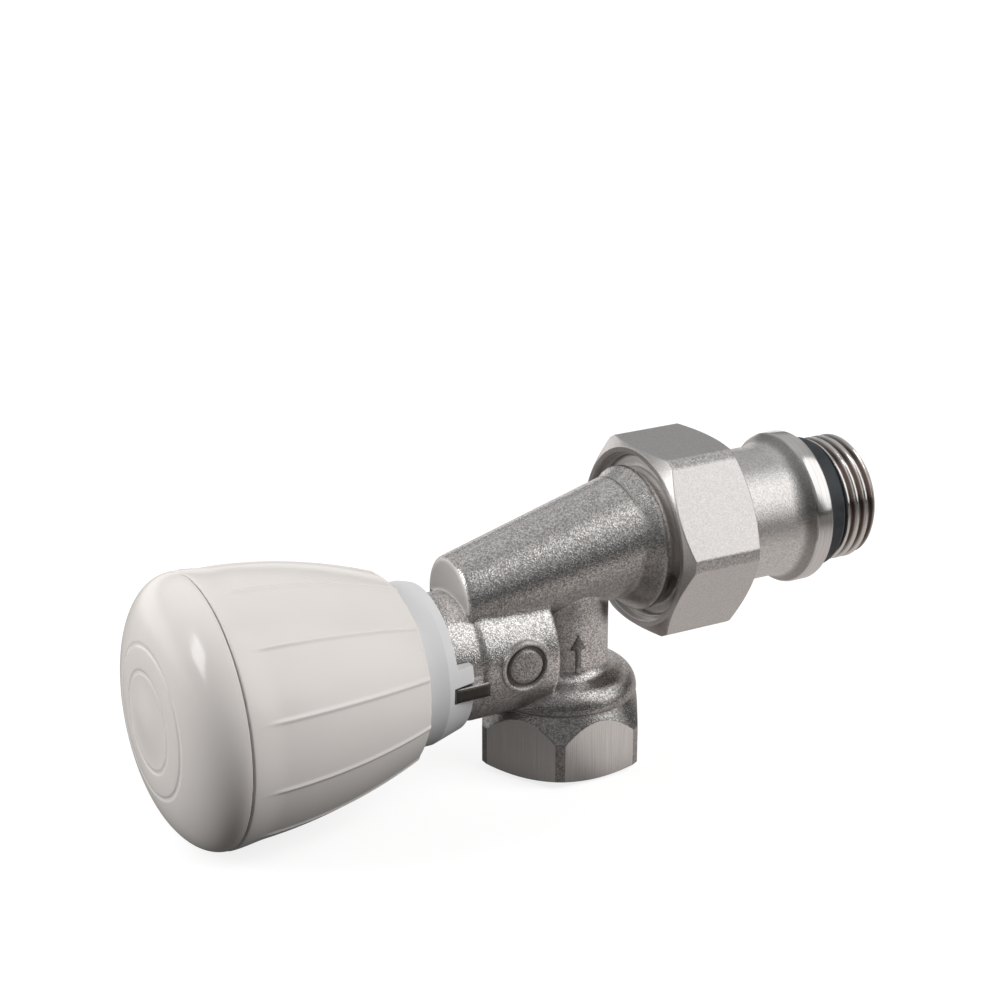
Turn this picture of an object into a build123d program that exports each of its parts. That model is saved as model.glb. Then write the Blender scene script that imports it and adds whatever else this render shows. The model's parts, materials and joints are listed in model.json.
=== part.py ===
"""Angle radiator valve with a horizontal handwheel, in millimetres, +Z up.

The origin is the centre of the pipe socket's mouth. The pipe comes up along Z, the radiator tail
leaves along +X, and the handwheel turns about a second X axis below the tail.
"""

import math
import os

from build123d import *

# Pipe socket, a hexagon for a 25 mm spanner with a parallel half-inch female thread
socket_af = 25.0
socket_land_r = 14.0
socket_rim_r = 12.05
socket_rim_height = 0.9
socket_corner_top = 7.2
socket_waist_r = 11.95
socket_waist_height = 11.2
socket_bore_r = 9.32
socket_thread_depth = 12.0
shoulder_r = 12.4
shoulder_top = 14.6
shoulder_round = 3.6
leg_r = 7.7
leg_foot_round = 2.0
leg_bore_r = 5.0
leg_bore_cone = 1.0
forging_fillet = 1.2

# Axis of the handwheel above the socket's mouth, and the tail's above the handwheel's
knob_height = 21.2
axis_gap = 13.55
tail_height = knob_height + axis_gap

# Chamber boss on the handwheel's axis
boss_r = 10.8
boss_neck_r = 10.3
boss_right = -6.4
boss_step = -19.7
boss_left = -25.8
boss_edge = 1.5
chamber_r = 8.4
seat_bore_r = 4.6
seat_lip_r = 6.0
seat_face = -9.0
seat_lip_height = 1.2

# Slanted duct from the chamber up to the union
duct_left = -20.3
duct_left_r = 7.0
duct_left_drop = 4.6
duct_right = 9.7
duct_right_r = 9.66
duct_right_rise = 0.7
duct_overlap = 1.5
duct_end_wall = 3.0
duct_bore_r = 4.5
duct_edge = 1.0
duct_seam_round = 1.5

# Union end of the body, with a three-quarter-inch male thread under the nut
union_bead_r = 11.8
union_bead_left = 12.3
union_bead_right = 13.2
union_relief_r = 11.2
union_thread_r = 13.2
union_thread_left = 15.6
union_face = 20.4
union_bore_r = 8.0

# Index lug and oval badge pad on the boss
lug_size = 2.1
lug_length = 5.9
lug_r = 12.7
lug_drop = 1.0
badge_x = -12.6
badge_rise = 0.5
badge_half_width = 4.2
badge_half_height = 4.1
badge_rim = 0.6
badge_groove = 0.8
badge_lift = 0.35
badge_depth = 0.5

# Radiator tail
tail_shell_r = 10.95
tail_head_chamfer = 1.0
tail_cone_left = 38.0
tail_flange_left = 41.5
tail_flange_right = 44.4
tail_flange_r = 12.65
tail_seal_seat_r = 9.3
tail_thread_left = 48.4
tail_thread_r = 10.4775
tail_end = 55.2
tail_end_chamfer = 0.9
tail_bore_r = 7.4
tail_key_af = 12.0
tail_key_length = 12.0

# Union nut, a hexagon for a 30 mm spanner
nut_af = 30.0
nut_land_r = 16.8
nut_face_r = 14.75
nut_left = 13.5
nut_right = 27.8
nut_end_chamfer = 1.1
nut_mouth_r = 13.9
nut_mouth_depth = 1.2
nut_floor = 3.0
thread_clearance = 0.05

# Split ring that holds the nut on the tail, and the seals of the union and the radiator
ring_wire = 1.2
ring_gap_angle = 24.0
union_seal_thickness = 0.8
radiator_seal_r = 11.0
radiator_seal_round = 0.8
seal_clearance = 0.05

# Bonnet that carries the stem and closes the chamber
bonnet_inner = -19.0
bonnet_edge = 0.6
bonnet_flange_r = 10.2
bonnet_flange_length = 3.0
bonnet_neck_r = 6.4
bonnet_neck_end = -38.0
bonnet_seal_wire = 0.9
spring_pocket_r = 4.2
spring_floor = -25.0
gland_r = 4.7
gland_length = 3.0
gland_flange_r = 5.4
gland_flange_length = 1.2
gland_seal_wire = 0.7

# Stem with its obturator, moved along X by the handwheel
stem_r = 2.0
stem_clearance = 0.05
stem_tip = -42.8
stem_tip_chamfer = 0.4
stem_neck_step = 0.6
stroke = 3.0
seat_reserve = 0.1
gasket_r = 6.4
gasket_thickness = 1.7
obturator_r = 6.8
obturator_thickness = 2.2
obturator_edge = 0.8
retainer_r = 3.2
retainer_thickness = 1.2
stem_nose = 0.4
clip_r = 3.6
clip_thickness = 0.8
clip_x = -34.4
spring_wire = 0.7
spring_turns = 4.0

# White collar clipped on the bonnet, with the neck that the handwheel screws on
collar_r = 13.08
collar_cone_left = -27.0
collar_right = -22.2
collar_lip = 1.35
collar_upper_right = -25.3
collar_tongue_rise = 3.0
collar_tongue_round = 1.2
collar_plate_left = -31.8
collar_plate_thickness = 1.6
collar_neck_r = 8.0
collar_neck_wall = 1.4
collar_neck_end = -46.0
collar_clearance = 0.1
slot_clearance = 0.3

# Handwheel shell with twelve grip facets, cap, threaded hub and pusher
shell_rear = -31.0
shell_front = -62.6
shell_front_r = 21.2
shell_crown = 1.62
shell_wall = 2.0
mouth_wall = 1.3
mouth_clearance = 0.35
facet_count = 12
facet_bite = 0.1
facet_runout = 5.6
facet_fade = 0.1
facet_overrun = 1.0
web_depth = 3.0
web_thickness = 2.0
cap_gap = 0.25
cap_step = 0.1
cap_front = -70.4
cap_round_width = 14.0
cap_crown = 0.4
cap_wall = 2.0
cap_spigot_length = 2.2
cap_spigot_wall = 1.4
cap_outer_ring_r = 11.6
cap_inner_ring_r = 7.6
cap_ring_width = 0.5
cap_ring_depth = 0.15
hub_running_gap = 0.3
hub_wall = 2.0
hub_rear = -37.0
hub_flange_thickness = 2.0
pusher_r = 2.6
pusher_head_r = 5.5
pusher_head_thickness = 4.0
pusher_gap = 0.1
screw_r = 1.5
screw_head_r = 3.2
screw_head_height = 1.8
screw_length = 8.0
screw_slot = 0.8
fit_clearance = 0.05

# Planes and axes that the turned pieces share
tail_axis = Axis((0, 0, tail_height), (1, 0, 0))
knob_axis = Axis((0, 0, knob_height), (1, 0, 0))
tail_plane = Plane(origin=(0, 0, tail_height), x_dir=(1, 0, 0), z_dir=(0, -1, 0))
knob_plane = Plane(origin=(0, 0, knob_height), x_dir=(1, 0, 0), z_dir=(0, -1, 0))


def across(x, height):
    """The plane square to the X axis at x, with its local axes along Y and Z."""
    return Plane(origin=(x, 0, height), x_dir=(0, 1, 0), z_dir=(1, 0, 0))


def turned(plane, points):
    """A closed profile of straight lines, in (along the axis, radius), ready to revolve."""
    with BuildSketch(plane) as profile:
        with BuildLine():
            Polyline(points, close=True)
        make_face()
    return profile.sketch


def wire_ring(plane, x, centre_r, wire):
    """The round section of a ring whose centre line has the radius centre_r."""
    with BuildSketch(plane) as section:
        with Locations((x, centre_r)):
            Circle(wire / 2)
    return section.sketch


mouth_r = collar_r + mouth_clearance
shell_rear_r = (mouth_r + mouth_wall) / math.cos(math.pi / facet_count) + facet_bite


def shell_radius(x):
    """Radius of the crowned shell at x: a straight taper with a parabolic bulge."""
    along = (shell_rear - x) / (shell_rear - shell_front)
    taper = shell_rear_r + (shell_front_r - shell_rear_r) * along
    return taper + 4 * shell_crown * along * (1 - along)


def facet_flat(x):
    """Distance of a facet from the handwheel's axis at x, with its corners just under the crown."""
    return (shell_radius(x) - facet_bite) * math.cos(math.pi / facet_count)


# Places that follow from the sizes above
gasket_face = seat_face - stroke - seat_reserve
obturator_face = gasket_face - gasket_thickness
duct_run = duct_right - duct_left
duct_climb = duct_left_drop + duct_right_rise
duct_length = math.hypot(duct_run, duct_climb)
duct_taper = (duct_right_r - duct_left_r) / duct_length
duct_plane = Plane(
    origin=(duct_right, 0, tail_height + duct_right_rise),
    x_dir=(duct_run, 0, duct_climb),
    z_dir=(0, -1, 0),
)
duct_axis = Axis(duct_plane.origin, duct_plane.x_dir)
tail_head_left = union_face + union_seal_thickness
nut_shoulder = nut_right - nut_floor
ring_x = nut_shoulder - ring_wire / 2
web_front = shell_front + web_depth
web_rear = web_front + web_thickness
hub_inner_r = collar_neck_r + hub_running_gap
hub_outer_r = hub_inner_r + hub_wall
hub_flange_r = collar_r

# Forged body: socket, leg, chamber boss, duct and union end in one piece
with BuildPart() as valve_body:
    with BuildSketch():
        RegularPolygon(socket_af / 2, 6, major_radius=False)
    extrude(amount=socket_waist_height)
    with BuildSketch(Plane.XZ):
        with BuildLine():
            Polyline(
                (0, 0),
                (socket_rim_r, 0),
                (socket_land_r, socket_rim_height),
                (socket_land_r, socket_corner_top),
                (socket_waist_r, socket_waist_height),
                (0, socket_waist_height),
                close=True,
            )
        make_face()
    revolve(axis=Axis.Z, mode=Mode.INTERSECT)
    with BuildSketch(Plane.XZ):
        with BuildLine():
            Polyline(
                (0, socket_waist_height),
                (socket_waist_r, socket_waist_height),
                (shoulder_r, socket_waist_height + shoulder_r - socket_waist_r),
                (shoulder_r, shoulder_top),
                (leg_r, shoulder_top + forging_fillet),
                (leg_r, tail_height),
                (0, tail_height),
                close=True,
            )
        make_face()
        fillet(vertices().sort_by_distance((shoulder_r, shoulder_top))[0], shoulder_round)
        fillet(vertices().sort_by_distance((leg_r, shoulder_top + forging_fillet))[0], leg_foot_round)
    revolve(axis=Axis.Z)
    revolve(
        turned(
            duct_plane,
            [
                (-duct_length - duct_left_r, 0),
                (-duct_length - duct_left_r, duct_left_r - duct_taper * duct_left_r),
                (duct_overlap, duct_right_r + duct_taper * duct_overlap),
                (duct_overlap, 0),
            ],
        ),
        axis=duct_axis,
    )
    split(bisect_by=across(duct_left, tail_height))
    duct_end = valve_body.faces().filter_by(Axis.X).sort_by(Axis.X)[0]
    fillet(duct_end.edges(), duct_edge)
    with BuildSketch(tail_plane):
        with BuildLine():
            Polyline(
                (duct_right - duct_overlap, 0),
                (duct_right - duct_overlap, duct_right_r - duct_overlap),
                (duct_right, duct_right_r),
                (union_bead_left, union_bead_r),
                (union_bead_right, union_bead_r),
                (union_bead_right, union_relief_r),
                (union_thread_left, union_relief_r),
                (union_thread_left, union_thread_r),
                (union_face, union_thread_r),
                (union_face, 0),
                close=True,
            )
        make_face()
        bead_corner = vertices().sort_by_distance(Vector(union_bead_left, 0, tail_height + union_bead_r))[0]
        fillet(bead_corner, forging_fillet)
    revolve(axis=tail_axis)
    with BuildSketch(knob_plane):
        with BuildLine():
            Polyline(
                (boss_left, 0),
                (boss_left, boss_neck_r),
                (boss_step, boss_neck_r),
                (boss_step + boss_r - boss_neck_r, boss_r),
                (boss_right, boss_r),
                (boss_right, 0),
                close=True,
            )
        make_face()
        boss_corner = vertices().sort_by_distance(Vector(boss_right, 0, knob_height + boss_r))[0]
        fillet(boss_corner, boss_edge)
    revolve(axis=knob_axis)
    duct_seams = (
        valve_body.edges()
        .filter_by(GeomType.BSPLINE)
        .filter_by_position(Axis.X, boss_step, boss_right - boss_edge)
        .filter_by_position(Axis.Z, knob_height, tail_height)
        .filter_by(lambda edge: edge.length > boss_r / 2)
    )
    fillet(duct_seams, duct_seam_round)
    with BuildSketch(Plane.XZ.offset(boss_r + badge_lift)):
        with Locations((badge_x, knob_height + badge_rise)):
            Ellipse(badge_half_width, badge_half_height)
    extrude(amount=-boss_r / 2)
    with BuildSketch(Plane.XZ.offset(boss_r + badge_lift)):
        with Locations((badge_x, knob_height + badge_rise)):
            Ellipse(badge_half_width - badge_rim, badge_half_height - badge_rim)
            Ellipse(
                badge_half_width - badge_rim - badge_groove,
                badge_half_height - badge_rim - badge_groove,
                mode=Mode.SUBTRACT,
            )
    extrude(amount=-badge_depth, mode=Mode.SUBTRACT)
    with BuildSketch(Plane.XZ.offset(lug_r)):
        with Locations((boss_left, knob_height - lug_drop)):
            Rectangle(lug_length, lug_size, align=(Align.MIN, Align.CENTER))
    extrude(amount=boss_neck_r / 2 - lug_r)
    # Waterways: pipe thread, leg, seat, chamber, duct and union
    with BuildSketch(Plane.XZ):
        with BuildLine():
            Polyline(
                (0, 0),
                (socket_bore_r, 0),
                (socket_bore_r, socket_thread_depth),
                (leg_bore_r, socket_thread_depth + leg_bore_cone),
                (leg_bore_r, knob_height),
                (0, knob_height + leg_bore_r),
                close=True,
            )
        make_face()
    revolve(axis=Axis.Z, mode=Mode.SUBTRACT)
    revolve(
        turned(
            knob_plane,
            [
                (boss_left, 0),
                (boss_left, chamber_r),
                (seat_face + seat_lip_height, chamber_r),
                (seat_face + seat_lip_height, seat_lip_r),
                (seat_face, seat_lip_r),
                (seat_face, seat_bore_r),
                (0, seat_bore_r),
                (0, 0),
            ],
        ),
        axis=knob_axis,
        mode=Mode.SUBTRACT,
    )
    revolve(
        turned(
            duct_plane,
            [
                (duct_end_wall - duct_length, 0),
                (duct_end_wall - duct_length, duct_bore_r),
                (duct_overlap, duct_bore_r),
                (duct_overlap, 0),
            ],
        ),
        axis=duct_axis,
        mode=Mode.SUBTRACT,
    )
    revolve(
        turned(
            tail_plane,
            [
                (duct_right, 0),
                (duct_right, duct_bore_r),
                (union_bead_right, union_bore_r),
                (union_face, union_bore_r),
                (union_face, 0),
            ],
        ),
        axis=tail_axis,
        mode=Mode.SUBTRACT,
    )
valve_body.part.label = "valve_body"

# Turned tail with its flange, seal seat and half-inch male thread, keyed inside for fitting
with BuildPart() as tailpiece:
    revolve(
        turned(
            tail_plane,
            [
                (tail_head_left, 0),
                (tail_head_left, tail_shell_r - tail_head_chamfer),
                (tail_head_left + tail_head_chamfer, tail_shell_r),
                (tail_cone_left, tail_shell_r),
                (tail_flange_left, tail_flange_r),
                (tail_flange_right, tail_flange_r),
                (tail_flange_right, tail_seal_seat_r),
                (tail_thread_left, tail_seal_seat_r),
                (tail_thread_left, tail_thread_r),
                (tail_end - tail_end_chamfer, tail_thread_r),
                (tail_end, tail_thread_r - tail_end_chamfer),
                (tail_end, 0),
            ],
        ),
        axis=tail_axis,
    )
    with BuildSketch(tail_plane):
        with Locations((ring_x, tail_shell_r)):
            Rectangle(ring_wire + 2 * seal_clearance, ring_wire + 2 * seal_clearance)
    revolve(axis=tail_axis, mode=Mode.SUBTRACT)
    with BuildSketch(across(tail_head_left, tail_height)):
        Circle(tail_bore_r)
    extrude(amount=tail_end - tail_key_length - tail_head_left, mode=Mode.SUBTRACT)
    with BuildSketch(across(tail_end, tail_height)):
        RegularPolygon(tail_key_af / 2, 6, major_radius=False)
    extrude(amount=-tail_key_length, mode=Mode.SUBTRACT)
tailpiece.part.label = "tailpiece"

# Union nut over the body's thread, with cut-back corners and a floor behind the split ring
with BuildPart() as union_nut:
    with BuildSketch(across(nut_left, tail_height)):
        RegularPolygon(nut_af / 2, 6, major_radius=False)
    extrude(amount=nut_right - nut_left)
    revolve(
        turned(
            tail_plane,
            [
                (nut_left, 0),
                (nut_left, nut_face_r),
                (nut_left + nut_end_chamfer, nut_land_r),
                (nut_right - nut_end_chamfer, nut_land_r),
                (nut_right, nut_face_r),
                (nut_right, 0),
            ],
        ),
        axis=tail_axis,
        mode=Mode.INTERSECT,
    )
    revolve(
        turned(
            tail_plane,
            [
                (nut_left, 0),
                (nut_left, nut_mouth_r),
                (nut_left + nut_mouth_depth, nut_mouth_r),
                (nut_left + nut_mouth_depth, union_thread_r + thread_clearance),
                (nut_shoulder, union_thread_r + thread_clearance),
                (nut_shoulder, tail_shell_r + fit_clearance),
                (nut_right, tail_shell_r + fit_clearance),
                (nut_right, 0),
            ],
        ),
        axis=tail_axis,
        mode=Mode.SUBTRACT,
    )
union_nut.part.label = "union_nut"

# Split wire ring in the tail's groove, which the nut's floor pulls on
with BuildPart() as retaining_ring:
    revolve(
        wire_ring(tail_plane, ring_x, tail_shell_r, ring_wire),
        axis=tail_axis,
        revolution_arc=360 - ring_gap_angle,
    )
retaining_ring.part.label = "retaining_ring"

# Soft ring squeezed between the tail's end and the body
with BuildPart() as union_seal:
    revolve(
        turned(
            tail_plane,
            [
                (union_face, union_bore_r + seal_clearance),
                (union_face, tail_shell_r - tail_head_chamfer),
                (tail_head_left, tail_shell_r - tail_head_chamfer),
                (tail_head_left, union_bore_r + seal_clearance),
            ],
        ),
        axis=tail_axis,
    )
union_seal.part.label = "union_seal"

# Rubber sealing ring between the flange and the radiator's thread
with BuildPart() as radiator_seal:
    revolve(
        turned(
            tail_plane,
            [
                (tail_flange_right, tail_seal_seat_r + seal_clearance),
                (tail_flange_right, radiator_seal_r),
                (tail_thread_left - seal_clearance, radiator_seal_r),
                (tail_thread_left - seal_clearance, tail_seal_seat_r + seal_clearance),
            ],
        ),
        axis=tail_axis,
    )
    outer_edges = radiator_seal.edges().filter_by(GeomType.CIRCLE).sort_by(SortBy.RADIUS)[-2:]
    fillet(outer_edges, radiator_seal_round)
radiator_seal.part.label = "radiator_seal"

# Brass bonnet screwed into the chamber, with the spring's pocket in its neck
bonnet_flange_left = boss_left - bonnet_flange_length
bonnet_seal_x = (bonnet_inner + boss_left) / 2 + bonnet_seal_wire
bonnet_seal_r = chamber_r - fit_clearance - bonnet_seal_wire / 2
with BuildPart() as bonnet:
    revolve(
        turned(
            knob_plane,
            [
                (bonnet_inner, 0),
                (bonnet_inner, chamber_r - fit_clearance - bonnet_edge),
                (bonnet_inner - bonnet_edge, chamber_r - fit_clearance),
                (boss_left, chamber_r - fit_clearance),
                (boss_left, bonnet_flange_r),
                (bonnet_flange_left, bonnet_flange_r),
                (bonnet_flange_left, bonnet_neck_r),
                (bonnet_neck_end, bonnet_neck_r),
                (bonnet_neck_end, 0),
            ],
        ),
        axis=knob_axis,
    )
    revolve(
        turned(
            knob_plane,
            [
                (bonnet_inner, 0),
                (bonnet_inner, stem_r + stem_clearance),
                (spring_floor, stem_r + stem_clearance),
                (spring_floor, spring_pocket_r),
                (bonnet_neck_end + gland_length, spring_pocket_r),
                (bonnet_neck_end + gland_length, gland_r),
                (bonnet_neck_end, gland_r),
                (bonnet_neck_end, 0),
            ],
        ),
        axis=knob_axis,
        mode=Mode.SUBTRACT,
    )
    with BuildSketch(knob_plane):
        with Locations((bonnet_seal_x, bonnet_seal_r)):
            Rectangle(bonnet_seal_wire + 2 * seal_clearance, bonnet_seal_wire + 2 * seal_clearance)
    revolve(axis=knob_axis, mode=Mode.SUBTRACT)
bonnet.part.label = "bonnet"

# Round sealing ring in the bonnet's groove
with BuildPart() as bonnet_seal:
    revolve(
        wire_ring(knob_plane, bonnet_seal_x, bonnet_seal_r, bonnet_seal_wire),
        axis=knob_axis,
    )
bonnet_seal.part.label = "bonnet_seal"

# Gland screw in the neck's mouth, with the stem's sealing ring in its groove
gland_seal_x = bonnet_neck_end + gland_length / 2
gland_seal_r = stem_r + stem_clearance + gland_seal_wire / 2
with BuildPart() as gland_screw:
    revolve(
        turned(
            knob_plane,
            [
                (bonnet_neck_end + gland_length, stem_r + stem_clearance),
                (bonnet_neck_end + gland_length, gland_r - fit_clearance),
                (bonnet_neck_end, gland_r - fit_clearance),
                (bonnet_neck_end, gland_flange_r),
                (bonnet_neck_end - gland_flange_length, gland_flange_r),
                (bonnet_neck_end - gland_flange_length, stem_r + stem_clearance),
            ],
        ),
        axis=knob_axis,
    )
    with BuildSketch(knob_plane):
        with Locations((gland_seal_x, gland_seal_r)):
            Rectangle(gland_seal_wire + 2 * seal_clearance, gland_seal_wire + 2 * seal_clearance)
    revolve(axis=knob_axis, mode=Mode.SUBTRACT)
gland_screw.part.label = "gland_screw"

with BuildPart() as stem_seal:
    revolve(wire_ring(knob_plane, gland_seal_x, gland_seal_r, gland_seal_wire), axis=knob_axis)
stem_seal.part.label = "stem_seal"

# Stem with a shoulder behind the obturator and a thinner nose through the closing stack
stem_shoulder = obturator_face - obturator_thickness
nose_r = stem_r - stem_neck_step
with BuildPart() as stem:
    revolve(
        turned(
            knob_plane,
            [
                (stem_tip, 0),
                (stem_tip, stem_r - stem_tip_chamfer),
                (stem_tip + stem_tip_chamfer, stem_r),
                (clip_x - fit_clearance, stem_r),
                (clip_x - fit_clearance, nose_r),
                (clip_x + clip_thickness + fit_clearance, nose_r),
                (clip_x + clip_thickness + fit_clearance, stem_r),
                (stem_shoulder, stem_r),
                (stem_shoulder, nose_r),
                (gasket_face + retainer_thickness + stem_nose, nose_r),
                (gasket_face + retainer_thickness + stem_nose, 0),
            ],
        ),
        axis=knob_axis,
    )
stem.part.label = "stem"

# Closing stack on the stem's nose: brass obturator, rubber gasket and riveted retainer
with BuildPart() as obturator:
    revolve(
        turned(
            knob_plane,
            [
                (stem_shoulder, nose_r + fit_clearance),
                (stem_shoulder, obturator_r - obturator_edge),
                (stem_shoulder + obturator_edge, obturator_r),
                (obturator_face, obturator_r),
                (obturator_face, nose_r + fit_clearance),
            ],
        ),
        axis=knob_axis,
    )
obturator.part.label = "obturator"

with BuildPart() as obturator_gasket:
    revolve(
        turned(
            knob_plane,
            [
                (obturator_face, nose_r + fit_clearance),
                (obturator_face, gasket_r),
                (gasket_face, gasket_r),
                (gasket_face, nose_r + fit_clearance),
            ],
        ),
        axis=knob_axis,
    )
obturator_gasket.part.label = "obturator_gasket"

with BuildPart() as gasket_retainer:
    revolve(
        turned(
            knob_plane,
            [
                (gasket_face, nose_r + fit_clearance),
                (gasket_face, retainer_r),
                (gasket_face + retainer_thickness / 2, retainer_r),
                (gasket_face + retainer_thickness, retainer_r - retainer_thickness / 2),
                (gasket_face + retainer_thickness, nose_r + fit_clearance),
            ],
        ),
        axis=knob_axis,
    )
gasket_retainer.part.label = "gasket_retainer"

# Open clip in the stem's groove, which the return spring pushes on
with BuildPart() as stem_clip:
    with BuildSketch(across(clip_x, knob_height)):
        Circle(clip_r)
        Circle(nose_r + fit_clearance, mode=Mode.SUBTRACT)
        with Locations((0, -clip_r / 2)):
            Rectangle(2 * nose_r, clip_r, mode=Mode.SUBTRACT)
    extrude(amount=clip_thickness)
stem_clip.part.label = "stem_clip"

# Return spring between the pocket's floor and the clip
spring_left = clip_x + clip_thickness
spring_mean_r = (spring_pocket_r + stem_r) / 2
spring_height = spring_floor - spring_left - spring_wire - 2 * fit_clearance
with BuildPart() as return_spring:
    with BuildLine() as coil:
        Helix(
            spring_height / spring_turns,
            spring_height,
            spring_mean_r,
            center=(spring_left + fit_clearance + spring_wire / 2, 0, knob_height),
            direction=(1, 0, 0),
        )
    with BuildSketch(Plane(coil.line @ 0, z_dir=coil.line % 0)):
        Circle(spring_wire / 2)
    sweep()
return_spring.part.label = "return_spring"

# Collar: a cone over the boss's end, a plate on the bonnet's flange and the threaded neck
slot_width = lug_size + 2 * slot_clearance
collar_inner_r = boss_neck_r + collar_clearance
collar_right_r = collar_inner_r + collar_lip
collar_plate_right = collar_plate_left + collar_plate_thickness
neck_inner_r = collar_neck_r - collar_neck_wall
with BuildPart() as collar:
    revolve(
        turned(
            knob_plane,
            [
                (collar_plate_left, neck_inner_r),
                (collar_plate_left, collar_r),
                (collar_cone_left, collar_r),
                (collar_right, collar_right_r),
                (collar_right, collar_inner_r),
                (bonnet_flange_left, collar_inner_r),
                (bonnet_flange_left, neck_inner_r),
            ],
        ),
        axis=knob_axis,
    )
    revolve(
        turned(
            knob_plane,
            [
                (collar_neck_end, neck_inner_r),
                (collar_neck_end, collar_neck_r),
                (collar_plate_right, collar_neck_r),
                (collar_plate_right, neck_inner_r),
            ],
        ),
        axis=knob_axis,
    )
    with BuildSketch(Plane.XZ.offset(-collar_r)) as upper_cut:
        with Locations((collar_upper_right, knob_height + collar_tongue_rise)):
            Rectangle(2 * collar_r, 2 * collar_r, align=(Align.MIN, Align.MIN))
        fillet(upper_cut.vertices().group_by(Axis.Z)[0].sort_by(Axis.X)[0], collar_tongue_round)
    extrude(amount=2 * collar_r, mode=Mode.SUBTRACT)
    with BuildSketch(Plane.XZ.offset(collar_inner_r / 2)):
        with Locations((boss_left - slot_clearance, knob_height - lug_drop)):
            Rectangle(2 * collar_r, slot_width, align=(Align.MIN, Align.CENTER))
    extrude(amount=collar_r, mode=Mode.SUBTRACT)
collar.part.label = "collar"

# One side of the twelve-sided grip: all that lies outside a crowned flat, which runs out at the seam
shell_middle = (shell_rear + shell_front) / 2
facet_start = shell_front + facet_runout
cut_r = shell_front_r + shell_crown + facet_overrun
cut_half_width = cut_r * math.tan(math.pi / facet_count)
with BuildPart() as facet_cut:
    with BuildSketch(knob_plane):
        with BuildLine():
            Spline(
                (shell_rear + facet_overrun, facet_flat(shell_rear + facet_overrun)),
                (shell_middle, facet_flat(shell_middle)),
                (facet_start, facet_flat(facet_start)),
                (shell_front, shell_front_r + facet_fade),
            )
            Polyline(
                (shell_front, shell_front_r + facet_fade),
                (shell_front, cut_r),
                (shell_rear + facet_overrun, cut_r),
                (shell_rear + facet_overrun, facet_flat(shell_rear + facet_overrun)),
            )
        make_face()
    extrude(amount=cut_half_width, both=True)

# Handwheel shell: a crowned cone with the grip's flats cut from it
front_recess_r = shell_front_r - shell_wall
with BuildPart() as handwheel_shell:
    with BuildSketch(knob_plane):
        with BuildLine():
            ThreePointArc(
                (shell_rear, shell_rear_r),
                (shell_middle, shell_radius(shell_middle)),
                (shell_front, shell_front_r),
            )
            Polyline(
                (shell_front, shell_front_r),
                (shell_front, 0),
                (shell_rear, 0),
                (shell_rear, shell_rear_r),
            )
        make_face()
    revolve(axis=knob_axis)
    for turn in range(facet_count):
        add(facet_cut.part.rotate(knob_axis, turn * 360 / facet_count), mode=Mode.SUBTRACT)
    revolve(
        turned(
            knob_plane,
            [
                (web_rear, 0),
                (web_rear, facet_flat(web_rear) - shell_wall),
                (shell_rear, mouth_r),
                (shell_rear, 0),
            ],
        ),
        axis=knob_axis,
        mode=Mode.SUBTRACT,
    )
    with BuildSketch(across(web_front, knob_height)):
        Circle(front_recess_r)
    extrude(amount=-web_depth, mode=Mode.SUBTRACT)
    with BuildSketch(across(web_front, knob_height)):
        Circle(screw_r + fit_clearance)
    extrude(amount=web_thickness, mode=Mode.SUBTRACT)
handwheel_shell.part.label = "handwheel_shell"

# Domed cap snapped into the shell's front, with two plain rings on its face
cap_seam = shell_front - cap_gap
cap_seam_r = shell_front_r - cap_step
cap_flat_r = cap_seam_r - cap_round_width
cap_depth = cap_seam - cap_front
cap_hollow_r = front_recess_r - fit_clearance - cap_spigot_wall
with BuildPart() as handwheel_cap:
    with BuildSketch(knob_plane):
        with BuildLine():
            Line((cap_seam, 0), (cap_seam, cap_seam_r))
            EllipticalCenterArc((cap_seam, cap_flat_r), cap_depth, cap_round_width, 90, arc_size=90)
            Spline(
                (cap_front, cap_flat_r),
                (cap_front - cap_crown, 0),
                tangents=[(0, -1), (0, -1)],
            )
            Line((cap_front - cap_crown, 0), (cap_seam, 0))
        make_face()
    revolve(axis=knob_axis)
    with BuildSketch(across(cap_seam, knob_height)):
        Circle(front_recess_r - fit_clearance)
    extrude(amount=cap_spigot_length)
    revolve(
        turned(
            knob_plane,
            [
                (cap_seam + cap_spigot_length, 0),
                (cap_seam + cap_spigot_length, cap_hollow_r),
                (cap_seam, cap_hollow_r),
                (cap_front + cap_wall, cap_flat_r - cap_wall),
                (cap_front + cap_wall, 0),
            ],
        ),
        axis=knob_axis,
        mode=Mode.SUBTRACT,
    )
    for ring_r in (cap_outer_ring_r, cap_inner_ring_r):
        rise = math.sqrt(1 - ((ring_r - cap_flat_r) / cap_round_width) ** 2)
        ring_floor = cap_seam - cap_depth * rise + cap_ring_depth
        ring_inner_r = ring_r - cap_ring_width / 2
        ring_outer_r = ring_r + cap_ring_width / 2
        revolve(
            turned(
                knob_plane,
                [
                    (cap_front - cap_crown, ring_inner_r),
                    (ring_floor, ring_inner_r),
                    (ring_floor, ring_outer_r),
                    (cap_front - cap_crown, ring_outer_r),
                ],
            ),
            axis=knob_axis,
            mode=Mode.SUBTRACT,
        )
handwheel_cap.part.label = "handwheel_cap"

# Threaded hub inside the shell, which climbs the collar's neck as the handwheel turns
hub_flange_rear = web_rear + hub_flange_thickness
with BuildPart() as threaded_hub:
    revolve(
        turned(
            knob_plane,
            [
                (web_rear, pusher_head_r + fit_clearance),
                (web_rear, hub_flange_r),
                (hub_flange_rear, hub_flange_r),
                (hub_flange_rear, hub_outer_r),
                (hub_rear, hub_outer_r),
                (hub_rear, hub_inner_r),
                (hub_flange_rear, hub_inner_r),
                (hub_flange_rear, pusher_head_r + fit_clearance),
            ],
        ),
        axis=knob_axis,
    )
threaded_hub.part.label = "threaded_hub"

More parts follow.
